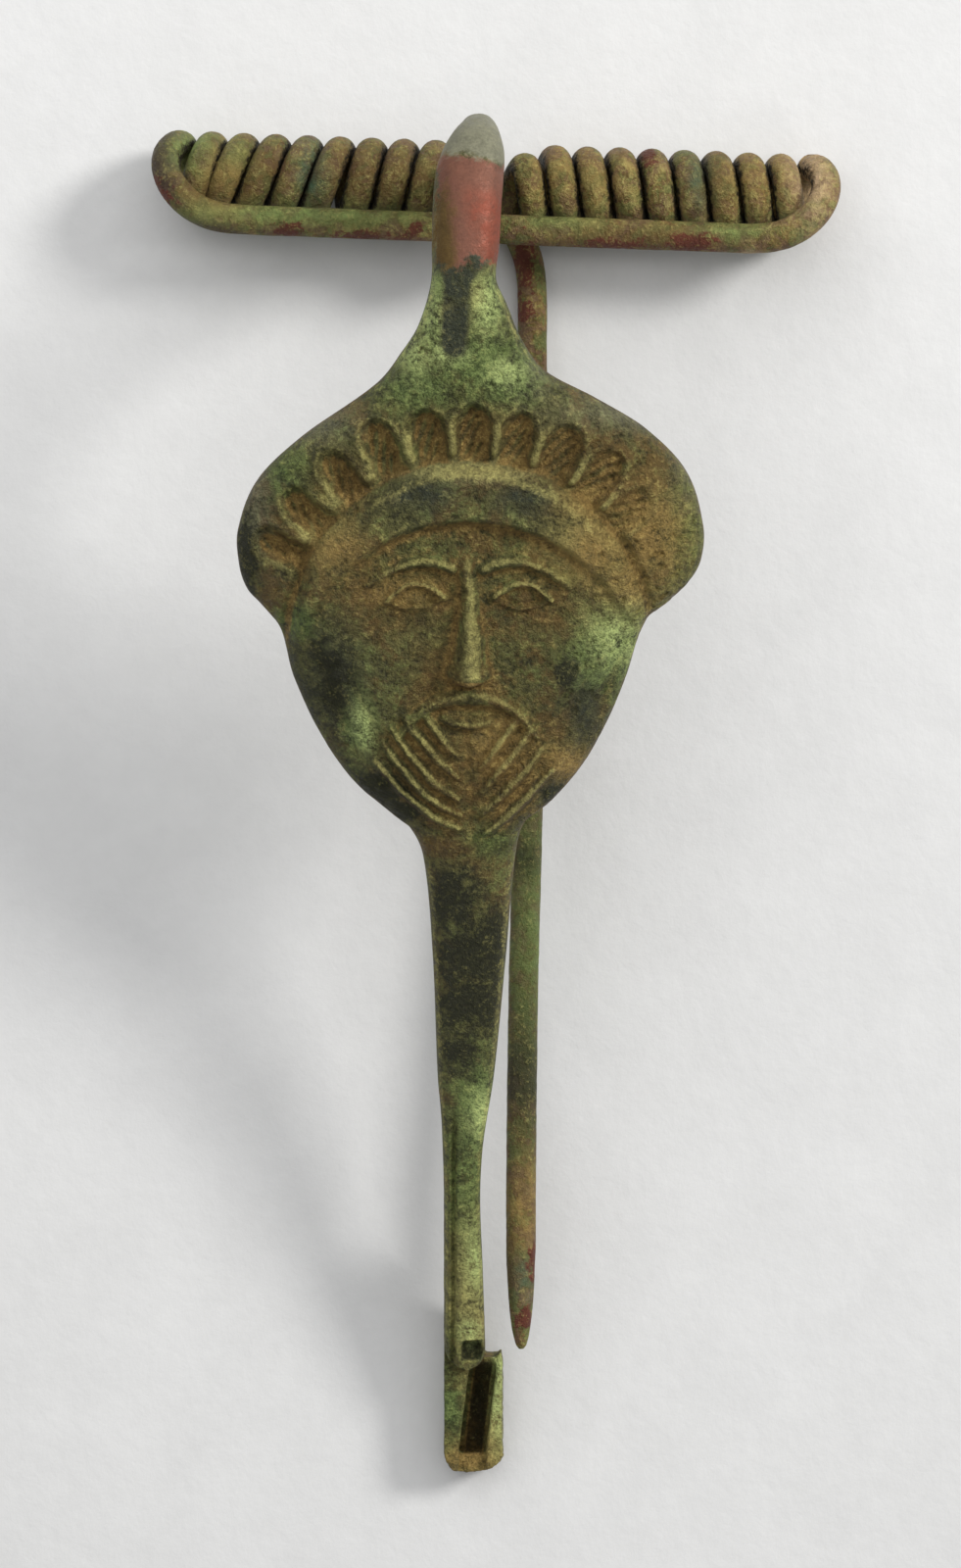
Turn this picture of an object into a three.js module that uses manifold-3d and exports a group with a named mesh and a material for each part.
// A bronze fibula: an arched bow cast with a bearded mask, a wound wire spring and its pin.
// Millimetres. X runs along the spring, Y from the foot towards the head, Z up.
// Inside the brooch group the zero point is the middle of the spring, on the table.
import * as THREE from "three";
import { mergeVertices } from "three/addons/utils/BufferGeometryUtils.js";
import Module from "manifold-3d";

const wasm = await Module();
wasm.setup();

// ---- Wire, spring and pin ----
const WIRE_RADIUS = 0.825;
const COIL_RADIUS = 1.65; // spring axis to the middle of the wire
const TURN_STEPS = 10; // flats round one turn; the coils stand on one of them
const WIRE_SIDES = 8;
const AXIS_HEIGHT = (COIL_RADIUS + WIRE_RADIUS) * Math.cos(Math.PI / TURN_STEPS);
const SPRING_SKEW = THREE.MathUtils.degToRad(-2.15); // the spring sits a little askew
const LEFT_COILS = { side: -1, first: 1.96, pitch: 1.78, turns: 8 };
const RIGHT_COILS = { side: 1, first: 2.84, pitch: 1.797, turns: 9 };
const LOOSE_TURN = 3; // from this turn on the left coils lean outwards
const CHORD = { v: -2.6, w: 2.12 }; // middle of the chord, from the spring axis
const PIN_TIP_LENGTH = 7; // length of the point
const PIN_TIP_RADIUS = 0.12;

// ---- Bow ----
// The crown line, along the middle of the bow's outer face, as [y, z].
const CROWN = [
  [1.15, 4.4],
  [1.8, 9],
  [2.25, 14],
  [2.25, 18.4],
  [1.1, 21.9],
  [-1.8, 23.8],
  [-5.6, 24.4],
  [-9.6, 24.1],
  [-12.8, 23.4],
  [-20.6, 21.2],
  [-28.4, 18.2],
  [-35.7, 14.9],
  [-44.3, 11.3],
  [-52.4, 8.4],
  [-57.9, 6.6],
  [-63.5, 4.8],
  [-65.9, 4.1],
];
const APEX_SHARE = 0.2; // the crown line falls towards the foot from this share of its length
const NECK_Y = -7.2; // where the strap starts to widen into the mask
const CHIN_Y = -36.2; // where the mask ends on the foot
const FOOT_END_Y = -65.9;
const RING_TOP = 17; // points across the outer face
const RING_UNDER = 3; // points across the under face
const RELIEF_ROOT = 0.5; // how deep a raised form is sunk into the mask

// ---- Mask ----
const BAND = { outerY: -26, outerR: 9.5, innerY: -28.9, innerR: 9.1, reach: 7.45, rise: 0.6 };
const LOCK_COUNT = 11;
const LOCK_STEP = THREE.MathUtils.degToRad(13);
const LOCK = { inner: 10, outer: 13.1, width: 1.75, depth: 0.45 };
const EYE = { x: 2.8, y: -23.4, width: 2.5, height: 1.1 };
const BROW_Y = -21.7;
const NOSE_Y = -27.8;
const MOUTH_Y = -29.8;
const STRANDS_A_SIDE = 5;

// ---- Catch ----
const CATCH = { left: -1.47, right: 1.81, wall: 1.1, lip: 0.68, floor: 0.65 };
const CATCH_END_Y = -71.75;
const LIP_START_Y = -65.45; // the lip is broken off nearer the head than this
const LIP_HEIGHT = 2.5;

const BRONZE_GREEN = new THREE.Color(0.23, 0.25, 0.14);
const BRONZE_BROWN = new THREE.Color(0.3, 0.25, 0.13);
const X_AXIS = new THREE.Vector3(1, 0, 0);

function finish(colour) {
  return new THREE.MeshStandardMaterial({ color: colour, roughness: 0.62, metalness: 0.35 });
}

// A smooth curve through [key, value] rows, read at one key.
function smooth(rows, key) {
  const last = rows.length - 1;
  if (key <= rows[0][0]) return rows[0][1];
  if (key >= rows[last][0]) return rows[last][1];
  let i = 0;
  while (rows[i + 1][0] < key) i += 1;
  const slope = (k) => {
    const a = rows[Math.max(k - 1, 0)];
    const b = rows[Math.min(k + 1, last)];
    return (b[1] - a[1]) / (b[0] - a[0]);
  };
  const span = rows[i + 1][0] - rows[i][0];
  const f = (key - rows[i][0]) / span;
  const rest = 1 - f;
  return (
    rows[i][1] * (1 + 2 * f) * rest * rest +
    slope(i) * span * f * rest * rest +
    rows[i + 1][1] * f * f * (3 - 2 * f) -
    slope(i + 1) * span * f * f * rest
  );
}

// ---- Closed meshes ----

// Closes a row of equal rings of points into one body, with a fan over each end.
function loft(rings) {
  const sides = rings[0].length;
  const points = rings.flat();
  const index = [];
  for (let i = 0; i + 1 < rings.length; i += 1) {
    for (let j = 0; j < sides; j += 1) {
      const a = i * sides + j;
      const b = i * sides + ((j + 1) % sides);
      index.push(a, a + sides, b, b, a + sides, b + sides);
    }
  }
  for (const [ring, start, turned] of [
    [rings[0], 0, false],
    [rings.at(-1), (rings.length - 1) * sides, true],
  ]) {
    const middle = points.length;
    points.push(ring.reduce((sum, p) => sum.add(p), new THREE.Vector3()).divideScalar(sides));
    for (let j = 0; j < sides; j += 1) {
      const a = start + j;
      const b = start + ((j + 1) % sides);
      index.push(middle, turned ? b : a, turned ? a : b);
    }
  }
  const geometry = new THREE.BufferGeometry().setFromPoints(points);
  geometry.setIndex(index);
  return geometry;
}

// A closed mesh as a solid for joining and cutting, whichever way round its rings were drawn.
function solid(geometry) {
  geometry.deleteAttribute("normal");
  geometry.deleteAttribute("uv");
  const merged = mergeVertices(geometry, 1e-5);
  const vertProperties = merged.attributes.position.array;
  const triVerts = new Uint32Array(merged.index.array);
  const made = new wasm.Manifold(new wasm.Mesh({ numProp: 3, vertProperties, triVerts }));
  if (made.volume() > 0) return made;
  triVerts.reverse();
  return new wasm.Manifold(new wasm.Mesh({ numProp: 3, vertProperties, triVerts }));
}

function geometryOf(made) {
  const mesh = made.getMesh();
  const geometry = new THREE.BufferGeometry();
  geometry.setAttribute("position", new THREE.BufferAttribute(mesh.vertProperties, 3));
  geometry.setIndex(new THREE.BufferAttribute(mesh.triVerts, 1));
  geometry.computeVertexNormals();
  return geometry;
}

// An outline drawn as (y, z), as thick as from x = left to x = right.
function sidePlate(shape, left, right) {
  const cyclic = new THREE.Matrix4().set(0, 0, 1, left, 1, 0, 0, 0, 0, 1, 0, 0, 0, 0, 0, 1);
  const plate = new THREE.ExtrudeGeometry(shape, {
    depth: right - left,
    bevelEnabled: false,
    curveSegments: 7,
  });
  return solid(plate.applyMatrix4(cyclic));
}

// A round wire along points. outward(point) gives the direction that one of its flats faces.
function wire(points, radiusAt, outward) {
  const corner = Math.PI / WIRE_SIDES;
  const rings = points.map((point, i) => {
    const before = points[Math.max(i - 1, 0)];
    const after = points[Math.min(i + 1, points.length - 1)];
    const along = after.clone().sub(before).normalize();
    const up = outward(point, i);
    up.addScaledVector(along, -up.dot(along)).normalize();
    const across = new THREE.Vector3().crossVectors(along, up);
    const reach = radiusAt(i) / Math.cos(corner);
    return Array.from({ length: WIRE_SIDES }, (_, k) => {
      const angle = corner + (2 * Math.PI * k) / WIRE_SIDES;
      return point
        .clone()
        .addScaledVector(up, Math.cos(angle) * reach)
        .addScaledVector(across, -Math.sin(angle) * reach);
    });
  });
  return loft(rings);
}

// ---- Spring and pin ----

// Turn 0 is the innermost crest at the rear of the spring; turns are counted outwards.
function coilPoint(coils, turn) {
  const angle = 2 * Math.PI * turn;
  const loose = coils.side < 0 && turn > LOOSE_TURN;
  let lean = 0;
  if (coils.side < 0) lean = loose ? 0.5 + 0.08 * (turn - LOOSE_TURN) : 0.12;
  if (turn > coils.turns - 1) lean *= 0.4; // the last turn stands upright against the end loop
  const out = coils.first + coils.pitch * turn + (lean * (1 - Math.cos(angle))) / 2;
  return new THREE.Vector3(
    coils.side * out,
    COIL_RADIUS * Math.cos(angle),
    COIL_RADIUS * Math.sin(angle),
  );
}

function coilPoints(coils) {
  const steps = coils.turns * TURN_STEPS;
  return Array.from({ length: steps + 2 }, (_, k) => coilPoint(coils, (k - 1) / TURN_STEPS));
}

// The wire leaves the last turn at the rear, rises over the end and comes down into the chord.
function endLoop(side, end) {
  const route = [
    [end, COIL_RADIUS, 0],
    [end + 0.4, 1.4, 1.0],
    [end + 0.72, 0.58, 1.95],
    [end + 0.45, -0.6, 2.6],
    [end - 0.55, -1.8, 2.78],
    [end - 1.9, -2.45, 2.45],
    [end - 3.4, CHORD.v, CHORD.w],
  ];
  const line = new THREE.CatmullRomCurve3(
    route.map(([u, v, w]) => new THREE.Vector3(side * u, v, w)),
    false,
    "centripetal",
  );
  return line.getSpacedPoints(11).slice(1);
}

function makeSpring() {
  const left = coilPoints(LEFT_COILS);
  const right = coilPoints(RIGHT_COILS);
  const leftLoop = endLoop(-1, Math.abs(left.at(-1).x));
  const rightLoop = endLoop(1, right.at(-1).x);
  const route = [...left, ...leftLoop, ...rightLoop.reverse(), ...right.reverse()];
  const fromAxis = (p) => new THREE.Vector3(0, p.y, p.z);
  const mesh = new THREE.Mesh(wire(route, () => WIRE_RADIUS, fromAxis), finish(BRONZE_BROWN));
  mesh.name = "spring";
  mesh.rotation.z = SPRING_SKEW;
  mesh.position.z = AXIS_HEIGHT;
  return mesh;
}

function makePin() {
  const route = [
    [2.12, 0.25, 0.86],
    [2.12, -1.4, 0.84],
    [2.9, -3.1, 0.9],
    [3.33, -4.4, 0.95],
    [3.45, -9.8, 1.25],
    [3.35, -20, 2.0],
    [3.17, -35.6, 3.1],
    [2.93, -45, 3.9],
    [2.8, -56, 4.7],
    [2.8, -64.6, 5.4],
  ];
  const line = new THREE.CatmullRomCurve3(
    route.map((p) => new THREE.Vector3(...p)),
    false,
    "centripetal",
  );
  const length = line.getLength();
  const root = [0, 0.8, 1.6, 2.4, 3.2, 4, 5, 6.5, 9, 13, 19, 26, 34, 42, 50];
  const tip = [1, 0.75, 0.5, 0.3, 0.15, 0.06, 0].map((share) => length - share * PIN_TIP_LENGTH);
  const stations = [...root, ...tip];
  const points = stations.map((d) => line.getPointAt(d / length));
  const radiusAt = (i) => {
    const share = Math.min((length - stations[i]) / PIN_TIP_LENGTH, 1);
    const round = Math.sqrt(1 - (1 - share) ** 2);
    return PIN_TIP_RADIUS + (WIRE_RADIUS - PIN_TIP_RADIUS) * round;
  };
  const down = () => new THREE.Vector3(0, 0, -1);
  const mesh = new THREE.Mesh(wire(points, radiusAt, down), finish(BRONZE_BROWN));
  mesh.name = "pin";
  return mesh;
}

// ---- Bow: the strap, the mask and the foot as one loft along the crown line ----

const crown = new THREE.CatmullRomCurve3(
  CROWN.map(([y, z]) => new THREE.Vector3(0, y, z)),
  false,
  "centripetal",
);
crown.arcLengthDivisions = 600;
const CROWN_LENGTH = crown.getLength();

// Distance along the crown line of a place on the mask or the foot, given its y.
function along(y) {
  let low = APEX_SHARE;
  let high = 1;
  for (let i = 0; i < 40; i += 1) {
    const middle = (low + high) / 2;
    if (crown.getPointAt(middle).y > y) low = middle;
    else high = middle;
  }
  return low * CROWN_LENGTH;
}

// Rows of [distance along the crown line, value] from rows of [y, value].
const plateRows = (...rows) => rows.map(([y, value]) => [along(y), value]);
const LEFT_EDGE = [
  [0, 0.6],
  [8, 0.63],
  [14, 0.66],
  [15.5, 0.78],
  [17, 1.13],
  [18.5, 1.5],
  [20, 1.8],
  ...plateRows(
    [-2.5, 1.95],
    [-5, 2],
    [NECK_Y, 2.05],
    [-9.5, 2.7],
    [-11.1, 3.6],
    [-12.8, 4.95],
    [-15.6, 8.9],
    [-17.9, 11.25],
    [-20.6, 12.32],
    [-22.4, 12.3],
    [-23.7, 11.9],
    [-24.6, 11.1],
    [-25.8, 10.15],
    [-28.4, 9.45],
    [-31.5, 8],
    [-33.8, 6.35],
    [-35.5, 4.25],
    [CHIN_Y, 3.3],
    [-37.8, 2.55],
    [-43.1, 2.05],
    [-49.6, 1.8],
    [-52.4, 1.58],
    [-57.9, 1.44],
    [FOOT_END_Y, 1.44],
  ),
];
const RIGHT_EDGE = [
  [0, 1.5],
  [14, 1.54],
  [15.5, 1.62],
  [17, 1.72],
  [18.5, 1.82],
  [20, 1.77],
  ...plateRows(
    [-2.5, 1.66],
    [-5, 1.55],
    [-7, 1.38],
    [-8.3, 1.9],
    [-10.5, 2.8],
    [-12.2, 4.05],
    [-13.6, 6.7],
    [-15.1, 9.2],
    [-17.4, 11.42],
    [-20.4, 12.38],
    [-22.2, 12.28],
    [-23.3, 11.7],
    [-24.2, 10.8],
    [-25.4, 9.4],
    [-28.4, 8.35],
    [-30.7, 7.4],
    [-33.1, 6],
    [-34.9, 4.35],
    [-35.9, 3],
    [-37.8, 2.45],
    [-43.1, 1.95],
    [-49.6, 1.3],
    [-53.5, 0.7],
    [-56.5, 0.54],
    [-60.5, 0.68],
    [FOOT_END_Y, 0.86],
  ),
];
const THICKNESS = [
  [0, 2.3],
  [8, 2.5],
  [20, 2.8],
  ...plateRows([NECK_Y, 2.7], [-14, 2.9], [-24, 3.1], [-34, 2.7], [-38, 2.5], [-52, 2]),
  ...plateRows([FOOT_END_Y, 1.5]),
];
const CROWN_TO_RIM = [
  [0, 1.15],
  [8, 1.25],
  [20, 1.4],
  ...plateRows([NECK_Y, 1.4], [-14, 2.1], [-24, 2.35], [-34, 1.9], [-38, 1.5], [-52, 1.1]),
  ...plateRows([FOOT_END_Y, 0.8]),
];
const ROUNDNESS = [
  [0, 2.4],
  [20, 2.1],
  ...plateRows([NECK_Y, 2.2], [-14, 2.5], [-24, 2.5], [-34, 2.4], [-38, 2.5]),
  ...plateRows([FOOT_END_Y, 2.8]),
];

function sectionAt(distance) {
  const share = THREE.MathUtils.clamp(distance / CROWN_LENGTH, 0, 1);
  const tangent = crown.getTangentAt(share);
  const left = smooth(LEFT_EDGE, distance);
  const right = smooth(RIGHT_EDGE, distance);
  return {
    crown: crown.getPointAt(share),
    out: new THREE.Vector3(0, tangent.z, -tangent.y),
    middle: (right - left) / 2,
    half: (right + left) / 2,
    thickness: smooth(THICKNESS, distance),
    rim: smooth(CROWN_TO_RIM, distance),
    roundness: smooth(ROUNDNESS, distance),
  };
}

const swell = (t, power) => Math.max(1 - Math.abs(t) ** power, 0) ** (1 / power);

// A point on the outer face, x across it, lifted off it by lift.
function facePoint(section, x, lift = 0) {
  const t = THREE.MathUtils.clamp((x - section.middle) / section.half, -1, 1);
  const depth = section.rim * (1 - swell(t, section.roundness));
  return section.crown
    .clone()
    .addScaledVector(X_AXIS, x)
    .addScaledVector(section.out, lift - depth);
}

function underPoint(section, t) {
  const depth = section.rim + (section.thickness - section.rim) * swell(t, 4);
  return section.crown
    .clone()
    .addScaledVector(X_AXIS, section.middle + section.half * t)
    .addScaledVector(section.out, -depth);
}

function bowRing(distance) {
  const section = sectionAt(distance);
  const top = Array.from({ length: RING_TOP }, (_, j) => {
    const even = (2 * j) / (RING_TOP - 1) - 1;
    const t = 0.3 * even + 0.7 * Math.sin((even * Math.PI) / 2);
    return facePoint(section, section.middle + section.half * t);
  });
  const under = Array.from({ length: RING_UNDER }, (_, j) => {
    const even = 1 - (2 * (j + 1)) / (RING_UNDER + 1);
    return underPoint(section, Math.sin((even * Math.PI) / 2));
  });
  return [...top, ...under];
}

function spaced(from, to, count) {
  return Array.from({ length: count }, (_, i) => from + ((to - from) * i) / count);
}

function makeBlank() {
  const neck = along(NECK_Y);
  const chin = along(CHIN_Y);
  const stations = [
    ...spaced(0, neck, 12),
    ...spaced(neck, chin, 34),
    ...spaced(chin, CROWN_LENGTH, 9),
    CROWN_LENGTH,
  ];
  return solid(loft(stations.map(bowRing)));
}

// ---- Carving: each form is a closed body laid on the face by (x, y) ----

const onFace = (x, y, lift) => facePoint(sectionAt(along(y)), x, lift);

// A strip along (x, y) points. profile gives its ring as [across, lift], from left to right
// over the top and back underneath; grow(share) scales its width and height along the way.
function strip(route, profile, grow = () => 1) {
  const rings = route.map(([x, y], i) => {
    const before = route[Math.max(i - 1, 0)];
    const after = route[Math.min(i + 1, route.length - 1)];
    const heading = new THREE.Vector2(after[0] - before[0], after[1] - before[1]).normalize();
    const size = grow(i / (route.length - 1));
    return profile.map(([across, lift]) => {
      const shift = across * size;
      const rise = lift > 0 ? lift * size : lift;
      return onFace(x - heading.y * shift, y + heading.x * shift, rise);
    });
  });
  return solid(loft(rings));
}

// Full size in the middle of a strip and under half at its ends.
const tapered = (share) => 0.5 + 0.5 * Math.sin(Math.PI * share);

function ridgeProfile(width, height) {
  return [
    [width / 2, -0.1],
    [width * 0.2, height],
    [-width * 0.2, height],
    [-width / 2, -0.1],
    [0, -RELIEF_ROOT],
  ];
}

function bend(from, over, to, steps) {
  const line = new THREE.QuadraticBezierCurve(
    new THREE.Vector2(...from),
    new THREE.Vector2(...over),
    new THREE.Vector2(...to),
  );
  return line.getPoints(steps).map((p) => [p.x, p.y]);
}

// A band like a crescent moon between two arcs, across the forehead.
function makeBand() {
  const steps = 18;
  const rings = [];
  for (let i = 0; i <= steps; i += 1) {
    const angle = Math.PI * (0.1 + (0.8 * i) / steps);
    const outer = [BAND.outerR * Math.cos(angle), BAND.outerY + BAND.outerR * Math.sin(angle)];
    const reach = BAND.reach * Math.cos(angle);
    const inner = [reach, BAND.innerY + Math.sqrt(BAND.innerR ** 2 - reach ** 2)];
    const between = (f, lift) =>
      onFace(
        outer[0] + (inner[0] - outer[0]) * f,
        outer[1] + (inner[1] - outer[1]) * f,
        lift,
      );
    const rise = BAND.rise * (0.45 + 0.55 * Math.sin(angle));
    rings.push([
      between(0, -0.1),
      between(0.14, rise * 0.7),
      between(0.5, rise),
      between(0.86, rise * 0.7),
      between(1, -0.1),
      between(0.5, -RELIEF_ROOT),
    ]);
  }
  return solid(loft(rings.reverse()));
}

// One lock of the hair: a wedge sunk into the plate, broad at the band and pointed outwards.
function makeLockCut(k) {
  const angle = Math.PI / 2 + LOCK_STEP * (k - (LOCK_COUNT - 1) / 2);
  const place = (radius, across, lift) => {
    const x = radius * Math.cos(angle) - across * Math.sin(angle);
    const y = BAND.outerY + radius * Math.sin(angle) + across * Math.cos(angle);
    return onFace(x, y, lift);
  };
  const ring = (radius, width, depth) => [
    place(radius, -width / 2 - 0.15, 0.7),
    place(radius, -width / 2, 0.02),
    place(radius, 0, -depth),
    place(radius, width / 2, 0.02),
    place(radius, width / 2 + 0.15, 0.7),
  ];
  const { inner, outer, width, depth } = LOCK;
  return solid(
    loft([
      ring(inner, width, depth),
      ring((inner + outer) / 2, width * 0.7, depth),
      ring(outer, width * 0.15, 0.05),
    ]),
  );
}

function makeFace() {
  const forms = [];
  const nose = [
    [0, BROW_Y - 0.2],
    [0, BROW_Y - 2],
    [0, NOSE_Y + 1.6],
    [0, NOSE_Y + 0.5],
    [0, NOSE_Y],
  ];
  const noseSize = (share) => [0.55, 0.62, 0.85, 1, 0.7][Math.round(share * 4)];
  forms.push(strip(nose, ridgeProfile(2.1, 1), noseSize));
  for (const side of [-1, 1]) {
    const brow = bend(
      [side * 0.9, BROW_Y - 0.2],
      [side * 2.8, BROW_Y + 0.9],
      [side * 5.3, BROW_Y - 1.1],
      6,
    );
    forms.push(strip(brow, ridgeProfile(0.75, 0.45), (share) => 1 - 0.4 * share));
    const eye = new THREE.SphereGeometry(1, 10, 6);
    const place = onFace(side * EYE.x, EYE.y, 0);
    eye.scale(EYE.width / 2, EYE.height / 2, 0.5).translate(place.x, place.y, place.z);
    forms.push(solid(eye));
    const lid = bend(
      [side * (EYE.x - 1.5), EYE.y - 0.15],
      [side * EYE.x, EYE.y + 1.5],
      [side * (EYE.x + 1.6), EYE.y - 0.2],
      6,
    );
    forms.push(strip(lid, ridgeProfile(0.4, 0.4)));
    const whisker = bend(
      [side * 0.3, MOUTH_Y + 1.05],
      [side * 2.2, MOUTH_Y + 1],
      [side * 3.6, MOUTH_Y - 0.9],
      5,
    );
    forms.push(strip(whisker, ridgeProfile(0.9, 0.45), (share) => 1 - 0.45 * share));
  }
  const lip = bend([-1.5, MOUTH_Y + 0.1], [0, MOUTH_Y - 0.75], [1.5, MOUTH_Y + 0.1], 4);
  forms.push(strip(lip, ridgeProfile(0.7, 0.4), tapered));
  return forms;
}

// The beard: combed strands that run from the cheeks down to the middle of the chin.
function makeBeard() {
  const strands = [];
  for (const side of [-1, 1]) {
    for (let k = 0; k < STRANDS_A_SIDE; k += 1) {
      const f = k / (STRANDS_A_SIDE - 1);
      const start = [side * (4.75 - 2.6 * f), -32.3 + 3.2 * f - 0.8 * f * f];
      const end = [side * 0.32, -35.7 + 4.1 * f];
      const over = [side * (2.4 - 1.3 * f), (start[1] + end[1]) / 2 - 0.45];
      strands.push(strip(bend(start, over, end, 5), ridgeProfile(0.72, 0.45), tapered));
    }
  }
  return strands;
}

// ---- Head lug, catch and foot ----

// Under the head the strap ends in a lug between the two halves of the spring, with an eye
// that the chord runs through.
function makeLug() {
  const chordZ = AXIS_HEIGHT + CHORD.w;
  const eyeRadius = WIRE_RADIUS + 0.33;
  const outerRadius = eyeRadius + 0.65;
  const shape = new THREE.Shape();
  shape.moveTo(0.75, 2.1);
  shape.quadraticCurveTo(1.2, 2.5, 1.12, 5.2);
  shape.lineTo(1.2, 7.4);
  shape.lineTo(-0.7, 8.2);
  shape.quadraticCurveTo(-1.2, 6.6, CHORD.v + 0.4, chordZ + outerRadius);
  shape.absarc(CHORD.v, chordZ, outerRadius, Math.PI / 2, (3 * Math.PI) / 2, false);
  shape.lineTo(-1.3, 2.1);
  shape.closePath();
  const eye = new THREE.Path();
  eye.absarc(CHORD.v, chordZ, eyeRadius, 0, 2 * Math.PI, true);
  shape.holes.push(eye);
  return sidePlate(shape, -0.6, 1.5);
}

// The catch-plate stands under the foot's left side and turns up into a gutter for the pin.
function makeCatch() {
  const { left, right, wall, lip, floor } = CATCH;
  const plate = new THREE.Shape();
  plate.moveTo(-51.6, 7.7);
  plate.lineTo(-62.6, 0.6);
  plate.quadraticCurveTo(-63.2, 0, -64, 0);
  plate.lineTo(CATCH_END_Y + 0.5, 0);
  plate.lineTo(CATCH_END_Y, 0.6);
  plate.lineTo(CATCH_END_Y, 2.2);
  plate.quadraticCurveTo(CATCH_END_Y + 0.2, 2.8, CATCH_END_Y + 1.4, 2.95);
  plate.lineTo(-65.4, 3.3);
  plate.lineTo(-57.9, 5.6);
  plate.closePath();

  const gutter = new THREE.Shape();
  gutter.moveTo(left, 2.2);
  gutter.lineTo(left, 0.8);
  gutter.quadraticCurveTo(left, 0, left + 0.8, 0);
  gutter.lineTo(right - 0.8, 0);
  gutter.quadraticCurveTo(right, 0, right, 0.9);
  gutter.lineTo(right - 0.05, LIP_HEIGHT);
  gutter.lineTo(right - lip, LIP_HEIGHT);
  gutter.lineTo(right - lip, 1.2);
  gutter.quadraticCurveTo(right - lip, floor, right - lip - 0.5, floor);
  gutter.lineTo(left + wall - 0.1, floor);
  gutter.lineTo(left + wall - 0.1, 2.2);
  gutter.closePath();
  const gutterLength = LIP_START_Y - CATCH_END_Y;
  const trough = new THREE.ExtrudeGeometry(gutter, {
    depth: gutterLength,
    bevelEnabled: false,
    curveSegments: 4,
  });
  trough.rotateX(Math.PI / 2).translate(0, LIP_START_Y, 0);
  const stop = new THREE.BoxGeometry(right - left - 0.06, 1.05, 2.1);
  stop.translate((left + right) / 2, CATCH_END_Y + 0.525, 1.05);
  const stub = new THREE.BoxGeometry(1.9, 2.4, floor);
  stub.translate(left + 1.35, LIP_START_Y + 1.1, floor / 2);

  const plan = new THREE.Shape();
  const corner = 1.15;
  plan.moveTo(left, CATCH_END_Y + corner);
  plan.absarc(left + corner, CATCH_END_Y + corner, corner, Math.PI, 1.5 * Math.PI, false);
  plan.absarc(right - corner, CATCH_END_Y + corner, corner, 1.5 * Math.PI, 2 * Math.PI, false);
  plan.lineTo(right, -50);
  plan.lineTo(left, -50);
  plan.closePath();
  const rounded = new THREE.ExtrudeGeometry(plan, {
    depth: 12,
    bevelEnabled: false,
    curveSegments: 5,
  });
  rounded.translate(0, 0, -1);

  return sidePlate(plate, left, left + wall)
    .add(solid(trough))
    .add(solid(stop))
    .add(solid(stub))
    .intersect(solid(rounded));
}

// A narrow groove parts the catch-plate's edge from the foot, and the foot ends in a small pit.
function makeFootCuts() {
  const groove = Array.from({ length: 7 }, (_, i) => [-0.9 - 0.06 * (i / 6), -52 - (14 * i) / 6]);
  const profile = [
    [0.3, 0.6],
    [-0.3, 0.6],
    [-0.16, -0.05],
    [0, -0.32],
    [0.16, -0.05],
  ];
  const pit = new THREE.SphereGeometry(0.52, 10, 6);
  const place = onFace(0.05, FOOT_END_Y + 0.55, 0.05);
  pit.translate(place.x, place.y, place.z);
  return [strip(groove, profile), solid(pit)];
}

function makeBow() {
  let bow = makeBlank();
  for (let k = 0; k < LOCK_COUNT; k += 1) bow = bow.subtract(makeLockCut(k));
  for (const form of [makeBand(), ...makeFace(), ...makeBeard()]) bow = bow.add(form);
  for (const cut of makeFootCuts()) bow = bow.subtract(cut);
  bow = bow.add(makeLug()).add(makeCatch());
  const mesh = new THREE.Mesh(geometryOf(bow), finish(BRONZE_GREEN));
  mesh.name = "bow";
  return mesh;
}

const brooch = new THREE.Group();
brooch.add(makeBow(), makeSpring(), makePin());

// The part's origin is on the table, under the middle of the whole brooch.
const fibula = new THREE.Group();
fibula.add(brooch);
const box = new THREE.Box3().setFromObject(brooch, true);
const middle = box.getCenter(new THREE.Vector3());
brooch.position.set(-middle.x, -middle.y, -box.min.z);

export default fibula;
